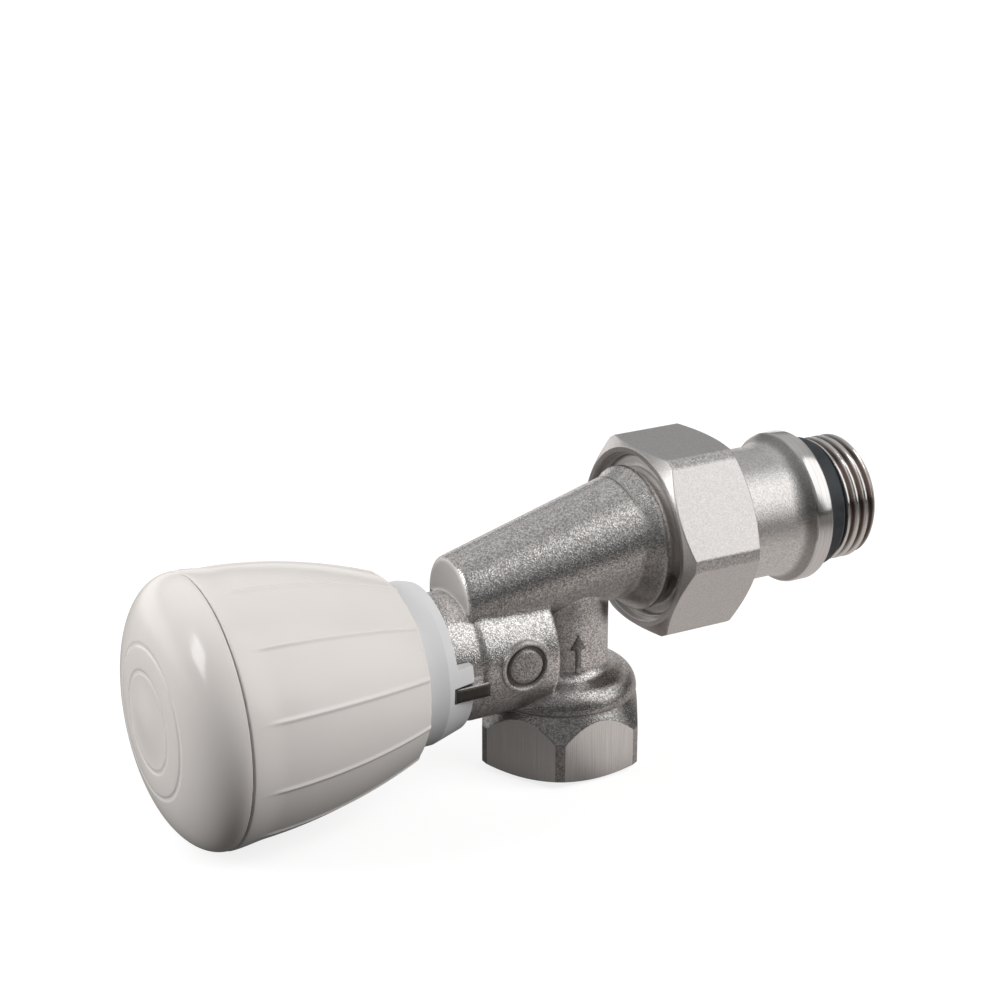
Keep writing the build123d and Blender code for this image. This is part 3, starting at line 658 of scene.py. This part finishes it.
def make_shell():
    """Grip shell: the crowned taper less twelve shallow parabolic facets, which run out at the seam."""
    angle = np.linspace(0, 2 * np.pi, 960, endpoint=False)
    x = np.concatenate((
        shell_front + shell_seam_round * (1 - np.cos(np.linspace(0, np.pi / 2, 8))),
        np.linspace(shell_front + shell_seam_round, shell_rear - shell_rim_round, 70)[1:],
        shell_rear - shell_rim_round * (1 - np.sin(np.linspace(0, np.pi / 2, 9)[1:])),
    ))
    lost_front = shell_seam_round - np.sqrt(
        np.maximum(shell_seam_round ** 2 - np.clip(shell_front + shell_seam_round - x, 0, None) ** 2, 0))
    lost_rear = shell_rim_round - np.sqrt(
        np.maximum(shell_rim_round ** 2 - np.clip(x - shell_rear + shell_rim_round, 0, None) ** 2, 0))
    crown = shell_radius(x)
    deep = 1 - smooth_rise(1 - (x - shell_front) / facet_runout)
    across = (angle / (2 * np.pi) * facet_count + 0.5) % 1 * 2 - 1
    dip = facet_bite + ridge_height + facet_sag * (1 - across ** 2)
    off_ridge = (1 - np.abs(across)) * np.pi / facet_count * crown[:, None]
    ridge = ridge_height * np.exp(-(off_ridge / ridge_half_width) ** 2)
    outer = crown[:, None] - deep[:, None] * (dip - deep[:, None] ** 2 * ridge)
    outer = outer - (lost_front + lost_rear)[:, None]
    mouth_r = (shell_radius(shell_rear) - facet_bite) * math.cos(math.pi / facet_count) - mouth_wall
    web_r = (shell_radius(web_rear) - facet_bite) * math.cos(math.pi / facet_count) - shell_wall
    recess_r = shell_front_r - shell_wall
    inner = np.array([
        (shell_rear, mouth_r + 0.3),
        (shell_rear - 0.09, mouth_r + 0.09),
        (shell_rear - 0.3, mouth_r),
        (web_rear, web_r),
        (web_rear, screw_hole_r),
        (web_front, screw_hole_r),
        (web_front, recess_r),
        (shell_front, recess_r),
    ])
    inner_r = np.broadcast_to(inner[:, 1:], (len(inner), len(angle)))
    x_all = np.concatenate((x, inner[:, 0]))
    return turned_piece("grip_shell", x_all, np.vstack((outer, inner_r)), knob_height, sharp=50)


def make_cap():
    """Domed cap: an elliptical shoulder, then a shallow crown, with two bell-shaped dips as rings."""
    s = np.linspace(0, np.pi / 2, 70)
    round_r = cap_flat_r + (cap_seam_r - cap_flat_r) * np.cos(s)
    r = np.concatenate((round_r, np.linspace(cap_flat_r, 0, 40)[1:]))
    shoulder = cap_seam - (cap_seam - cap_front) * np.sqrt(
        np.maximum(1 - (np.clip(r - cap_flat_r, 0, None) / (cap_seam_r - cap_flat_r)) ** 2, 0))
    crown = cap_crown * (0.5 + 0.5 * np.cos(np.pi * np.clip(r / cap_flat_r, 0, 1)))
    dips = sum(cap_ring_depth * np.exp(-((r - ring) / cap_ring_width) ** 2) for ring in cap_rings)
    x = shoulder - crown + dips
    fine = np.linspace(0, 1, 400)
    path = np.concatenate(([0], np.cumsum(np.hypot(np.diff(x), np.diff(r)))))
    x, r = np.interp(fine * path[-1], path, x), np.interp(fine * path[-1], path, r)
    back = np.array([
        (cap_front + cap_wall, 0.0),
        (cap_front + cap_wall, cap_flat_r - cap_wall),
        (cap_seam, cap_hollow_r),
        (cap_spigot_end, cap_hollow_r),
        (cap_spigot_end, cap_spigot_r),
        (cap_seam, cap_spigot_r),
        (cap_seam, cap_seam_r - cap_rim_round),
    ])
    rim_s = np.linspace(0, np.pi / 2, 6)
    rim_x = cap_seam - cap_rim_round * (1 - np.sin(rim_s))
    rim_r = cap_seam_r - cap_rim_round * (1 - np.cos(rim_s))
    x_all = np.concatenate((x[::-1], rim_x, back[::-1, 0]))
    r_all = np.concatenate((r[::-1], rim_r, back[::-1, 1]))
    radius = np.broadcast_to(r_all[:, None], (len(r_all), 192))
    return turned_piece("domed_cap", x_all, radius, knob_height, close_rows=False)


def make_tail():
    """Tail: turned rows with a flare that rises by a power of x, a thread and a six-sided key hole.

    The thread's radius falls from its crest by a rounded wave of x over the pitch less the turn.
    """
    columns = 288
    angle = np.linspace(0, 2 * np.pi, columns, endpoint=False)
    flare_x = np.linspace(tail_cone_left - flare_lead, flange_left - flare_gap, 24)
    flare_rise = flange_r - flare_gap - tail_shell_r
    flare_r = tail_shell_r + flare_rise * np.linspace(0, 1, 24) ** flare_power
    front = np.array([
        (tail_head, tail_bore_r),
        (tail_head, tail_shell_r - tail_head_chamfer),
        (tail_head + tail_head_chamfer, tail_shell_r),
        (groove_left, tail_shell_r),
        (groove_left, groove_floor_r),
        (groove_right, groove_floor_r),
        (groove_right, tail_shell_r),
        *zip(flare_x, flare_r),
        (flange_left, flange_r - 0.05),
        (flange_left + 0.2, flange_r),
        (flange_right - flange_edge, flange_r),
        (flange_right - 0.3 * flange_edge, flange_r - 0.3 * flange_edge),
        (flange_right, flange_r - flange_edge),
        (flange_right, seal_seat_r),
        (thread_left, seal_seat_r),
    ])
    x = np.linspace(thread_left, tail_end, 96)
    turn = (x[:, None] - thread_left) / thread_pitch - angle / (2 * np.pi)
    wave = 0.5 - 0.5 * np.cos(2 * np.pi * turn)
    root = np.clip(thread_crest * wave - 0.12, 0, 1)
    rising = smooth_rise((x - thread_left) / thread_lead)[:, None]
    chamfer = np.clip(x - (tail_end - tail_end_chamfer), 0, None)[:, None]
    blank = np.minimum(thread_r, seal_seat_r + (thread_r - seal_seat_r) * rising) - chamfer
    threaded = np.minimum(blank, thread_r - thread_depth * root)
    key = key_half * polygon_ratio(angle, 6, np.pi / 6, key_corner_sharpness)
    inner = np.stack((key + key_chamfer, key, key, np.full(columns, tail_bore_r)))
    key_floor = tail_end - key_length
    inner_x = np.array([tail_end, tail_end - key_chamfer, key_floor, key_floor])
    front_r = np.broadcast_to(front[:, 1:], (len(front), columns))
    x_all = np.concatenate((front[:, 0], x, inner_x))
    radius = np.vstack((front_r, threaded, inner))
    return turned_piece("threaded_tail", x_all, radius, tail_height, sharp=20)


def swept_piece(name, centre, rows, sharp=35.0):
    """Closed rows of points along a path, with the two ends drawn to the path's end points."""
    first = np.broadcast_to(centre[0], rows[:1].shape)
    last = np.broadcast_to(centre[-1], rows[:1].shape)
    rows = np.concatenate((first, rows, last))
    return mesh_of(name, rows, grid_faces(rows.shape[0], rows.shape[1], False), sharp)


def make_spring():
    """Return spring: a round wire along a helix, each point the helix's place plus a circle across it."""
    turn = np.linspace(0, 2 * np.pi * spring_turns, 280)
    b = np.linspace(0, 2 * np.pi, 14, endpoint=False)
    length = spring_floor - spring_left - spring_wire
    centre = np.stack((
        spring_left + spring_wire / 2 + length * turn / turn[-1],
        spring_mean_r * np.cos(turn),
        knob_height / mm + spring_mean_r * np.sin(turn),
    ), axis=-1)
    outward = np.stack((np.zeros_like(turn), np.cos(turn), np.sin(turn)), axis=-1)
    along = np.gradient(centre, axis=0)
    along /= np.linalg.norm(along, axis=1, keepdims=True)
    aside = np.cross(along, outward)
    circle = np.cos(b)[:, None] * outward[:, None, :] + np.sin(b)[:, None] * aside[:, None, :]
    return swept_piece("coiled_spring", centre, centre[:, None, :] + spring_wire / 2 * circle)


def make_arrow():
    """Flow arrow: a rounded bar wrapped on the leg's cylinder, first a plain shaft, then a tapering head.

    Across, each row is a squarish oval: the cosine and sine to the power 0.4, bent round the leg's axis.
    """
    z = np.concatenate((
        np.linspace(arrow_foot, arrow_neck, 30),
        np.linspace(arrow_neck + 0.02, arrow_tip, 30),
    ))
    head = arrow_head_half * (arrow_tip - z) / (arrow_tip - arrow_neck)
    half = np.where(z > arrow_neck, np.maximum(head, 0.02), arrow_shaft_half)
    b = np.linspace(0, 2 * np.pi, 32, endpoint=False)
    wide = np.sign(np.cos(b)) * np.abs(np.cos(b)) ** 0.4
    deep = np.sign(np.sin(b)) * np.abs(np.sin(b)) ** 0.4
    middle = math.asin(arrow_x / leg_r)
    angle = middle + half[:, None] * wide / leg_r
    radius = leg_r + np.where(deep > 0, arrow_rise, arrow_sink) * deep
    height = np.broadcast_to(z[:, None], angle.shape)
    rows = np.stack((radius * np.sin(angle), -radius * np.cos(angle), height), axis=-1)
    on_leg = np.array((leg_r * math.sin(middle), -leg_r * math.cos(middle)))
    centre = np.column_stack((np.broadcast_to(on_leg, (len(z), 2)), z))
    return swept_piece("flow_arrow", centre, rows, sharp=40)


def make_socket_thread():
    """Thread in the socket: rows round Z that stand in from the bore by a rounded wave.

    The wave is of z over the pitch less the turn, and it fades out at both ends.
    """
    angle = np.linspace(0, 2 * np.pi, 240, endpoint=False)
    z = np.linspace(socket_thread_foot, socket_thread_top, 120)
    wave = 0.5 - 0.5 * np.cos(2 * np.pi * (z[:, None] / thread_pitch - angle / (2 * np.pi)))
    fade = smooth_rise((z - socket_thread_foot) / 0.8) * smooth_rise((socket_thread_top - z) / 1.2)
    crest = np.clip(thread_crest * wave - 0.1, 0, 1) * fade[:, None]
    inner = socket_bore_r - 0.02 - socket_thread_rise * crest
    outer = np.full_like(inner[:2], socket_bore_r + 0.2)
    radius = np.vstack((inner, outer))
    height = np.concatenate((z, [socket_thread_top, socket_thread_foot]))[:, None]
    height = np.broadcast_to(height, radius.shape)
    points = np.stack((radius * np.cos(angle), radius * np.sin(angle), height), axis=-1)
    return mesh_of("socket_thread", points, grid_faces(len(radius), len(angle), True), 25)


def make_camera():
    """The camera stands at its place from the meeting point of the axes and looks along its aim, level."""
    ca, sa = math.cos(aim_azimuth), math.sin(aim_azimuth)
    ce, se = math.cos(aim_elevation), math.sin(aim_elevation)
    right = Vector((ca, -sa, 0))
    up = Vector((sa * se, ca * se, ce))
    forward = Vector((sa * ce, ca * ce, -se))
    data = bpy.data.cameras.new("photo_camera")
    data.lens = focal_pixels * sensor_width / image_size
    data.sensor_width = sensor_width
    data.clip_start = 0.01
    data.clip_end = 20
    camera = bpy.data.objects.new("photo_camera", data)
    turn = Matrix((right, up, -forward)).transposed().to_4x4()
    place = Vector((0, 0, tail_height)) + Vector(camera_from_meeting)
    camera.matrix_world = Matrix.Translation(place) @ turn
    bpy.context.scene.collection.objects.link(camera)
    bpy.context.scene.camera = camera


def soft_box(name, azimuth, elevation, distance, width, height, radiance):
    """An area lamp seen from the valve at an azimuth (from -Y toward +X) and elevation, facing it."""
    a, e = math.radians(azimuth), math.radians(elevation)
    centre = (cad_low + cad_high) / 2
    toward = Vector((math.sin(a) * math.cos(e), -math.cos(a) * math.cos(e), math.sin(e)))
    data = bpy.data.lights.new(name, "AREA")
    data.shape = "RECTANGLE"
    data.size, data.size_y = width, height
    data.energy = radiance * math.pi * width * height
    light = bpy.data.objects.new(name, data)
    light.location = centre + toward * distance
    light.rotation_mode = "QUATERNION"
    light.rotation_quaternion = (-toward).to_track_quat("-Z", "Y")
    bpy.context.scene.collection.objects.link(light)
    return light


def make_world():
    """White to the camera and glass, and to metal where the backdrop is; a grey room in metal elsewhere."""
    world = bpy.data.worlds.new("studio")
    bpy.context.scene.world = world
    world.use_nodes = True
    world.cycles.sampling_method = "NONE"
    world.node_tree.nodes.clear()
    g = Graph(world.node_tree)
    path = g.add("ShaderNodeLightPath")
    seen = g.math("MAXIMUM", path.outputs["Is Camera Ray"], path.outputs["Is Transmission Ray"])
    _, y, z = g.parts(g.add("ShaderNodeTexCoord").outputs["Generated"])
    walls = g.step(z, 0.02, 0.5, 0.04, 0.26)
    far_wall = g.times(g.step(y, -0.2, 0.6, 0.0, 0.2), g.step(z, 0.1, 0.5))
    ceiling = g.step(z, 0.74, 0.92, 0.0, 0.12)
    room = g.math("ADD", g.math("ADD", walls, far_wall), ceiling)
    backdrop = g.times(g.step(y, 0.35, 0.75), g.step(z, 0.06, 0.22, 1.0, 0.0))
    level = g.between(path.outputs["Is Glossy Ray"], ambient, g.most(room, backdrop))
    hue = g.blend(path.outputs["Is Diffuse Ray"], white, ambient_hue)
    sky = g.add("ShaderNodeBackground", {"Color": hue, "Strength": g.between(seen, level, 1.0)})
    g.add("ShaderNodeOutputWorld", {"Surface": sky.outputs[0]})


def make_floor():
    """A round floor: white to the camera but for the valve's shadow, and clear from below.

    Metal sees it white behind the valve, and elsewhere near black with a painted pool of light glowing toward the
    key lamp; a weaker share of that glow reaches the shading as painted bounce light.
    """
    corners = 96
    angle = np.linspace(0, 2 * np.pi, corners, endpoint=False)
    level = np.full(corners, cad_low.z - floor_gap)
    rim = np.stack((floor_radius * np.cos(angle), floor_radius * np.sin(angle), level), axis=-1)
    floor = mesh_of("studio_floor", rim / mm, np.arange(corners).reshape(1, corners))
    floor.data.flip_normals()
    material = bpy.data.materials.new("studio_floor")
    material.use_nodes = True
    material.cycles.emission_sampling = "NONE"
    material.node_tree.nodes.clear()
    g = Graph(material.node_tree)
    path = g.add("ShaderNodeLightPath")
    seen = g.math("MAXIMUM", path.outputs["Is Camera Ray"], path.outputs["Is Transmission Ray"])
    x, y, _ = g.parts(g.add("ShaderNodeTexCoord").outputs["Object"])
    toward_key = g.math("SUBTRACT", g.times(x, 0.7), g.times(y, 0.7))
    past_edge = g.math("ADD", g.times(x, math.cos(painted_pool_edge)), g.times(y, math.sin(painted_pool_edge)))
    # Painted pool of light: the floor glows toward the key lamp for metal, and more weakly for the shading
    painted_pool = g.times(
        g.step(toward_key, -0.02, 0.03, 0.2, 0.46),
        g.step(toward_key, 0.06, 0.2, 1.0, 0.2),
        g.step(past_edge, -0.006, 0.001, 0.42, 1.0),
        g.between(path.outputs["Is Diffuse Ray"], 1.0, 0.22),
    )
    far_floor = g.times(path.outputs["Is Glossy Ray"], g.step(y, 0.12, 0.4))
    camera_glow = g.step(g.length(x, y), 0.12, 0.5, 0.8, 1.0)
    glow = g.between(seen, g.most(painted_pool, far_floor), camera_glow)
    # Painted shade: the floor's own colour is near black to metal and the shading, pale only to the camera
    lit = g.add("ShaderNodeBsdfDiffuse", {"Color": g.blend(seen, floor_painted_dark, floor_pale)})
    light = g.add("ShaderNodeEmission", {"Color": g.blend(seen, painted_pool_hue, white), "Strength": glow})
    both = g.add("ShaderNodeAddShader", {0: lit.outputs[0], 1: light.outputs[0]})
    under = g.add("ShaderNodeNewGeometry").outputs["Backfacing"]
    clear = g.add("ShaderNodeBsdfTransparent")
    top_only = g.add("ShaderNodeMixShader", {0: under, 1: both.outputs[0], 2: clear.outputs[0]})
    g.add("ShaderNodeOutputMaterial", {"Surface": top_only.outputs[0]})
    floor.data.materials.append(material)


def dress(name, material):
    """Give a CAD node its material."""
    mesh = nodes[name].data
    mesh.materials.clear()
    mesh.materials.append(material)


make_camera()
make_world()
make_floor()
soft_box("key", 49.5, 36, distance=0.9, width=0.68, height=1.1, radiance=0.95)
soft_box("left", -98, 27, distance=1.0, width=0.32, height=0.38, radiance=5.8)
rear = soft_box("rear", -134, 26, distance=0.9, width=1.2, height=1.0, radiance=2.7)
front = soft_box("front", 42, 36, distance=0.9, width=0.6, height=0.6, radiance=5.2)

# These two only lift the shading: metal and gloss don't show them
rear.visible_glossy = False
front.visible_glossy = False

brass_dark, brass_pale = (0.52, 0.36, 0.15, 1), (0.72, 0.54, 0.27, 1)
steel_dark, steel_pale = (0.36, 0.36, 0.37, 1), (0.56, 0.56, 0.57, 1)
forging = nickel_forging()
tail_metal = tail_nickel()
brass = plain_metal("brass", brass_dark, brass_pale, 0.25, knob_height, 5000.0)
steel = plain_metal("spring_steel", steel_dark, steel_pale, 0.3, knob_height, 5000.0)
seal_rubber = rubber()
knob_white = white_moulding(
    "knob_white", (0.81, 0.768, 0.732, 1), (0.84, 0.803, 0.77, 1),
    roughness=0.15, edge_radius=0.0, specks=4000.0,
)
collar_white = white_moulding(
    "collar_white", (0.70, 0.70, 0.705, 1), (0.75, 0.75, 0.755, 1),
    roughness=0.38, edge_radius=0.25 * mm, specks=3000.0,
)
inner_white = white_moulding(
    "inner_white", (0.70, 0.69, 0.67, 1), (0.75, 0.74, 0.72, 1),
    roughness=0.45, edge_radius=0.0, specks=3000.0,
)

for name, material in {
    "valve_body": forging,
    "tailpiece": tail_metal,
    "union_nut": nut_nickel(),
    "retaining_ring": steel,
    "union_seal": seal_rubber,
    "radiator_seal": seal_rubber,
    "bonnet": brass,
    "bonnet_seal": seal_rubber,
    "gland_screw": brass,
    "stem_seal": seal_rubber,
    "collar": collar_white,
    "stem": steel,
    "obturator": brass,
    "obturator_gasket": seal_rubber,
    "gasket_retainer": brass,
    "stem_clip": steel,
    "return_spring": steel,
    "handwheel_shell": knob_white,
    "handwheel_cap": knob_white,
    "threaded_hub": inner_white,
    "pusher": inner_white,
    "handwheel_screw": steel,
}.items():
    dress(name, material)

for make, body, node, material, slot in (
    (make_shell, "handwheel", "handwheel_shell", knob_white, "white_gloss"),
    (make_cap, "handwheel", "handwheel_cap", knob_white, "white_gloss"),
    (make_tail, "valve", "tailpiece", tail_metal, "nickel_turned"),
):
    piece = make()
    piece.data.materials.append(material)
    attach(piece, body)
    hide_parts(node)

spring = make_spring()
spring.data.materials.append(steel)
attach(spring, "valve")
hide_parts("return_spring")
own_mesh(spring)

for make, material, slot in (
    (make_arrow, forging, "nickel_forged"),
    (make_socket_thread, tail_metal, "nickel_turned"),
):
    piece = make()
    piece.data.materials.append(material)
    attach(piece, "valve")

bpy.context.scene.view_settings.view_transform = "Standard"
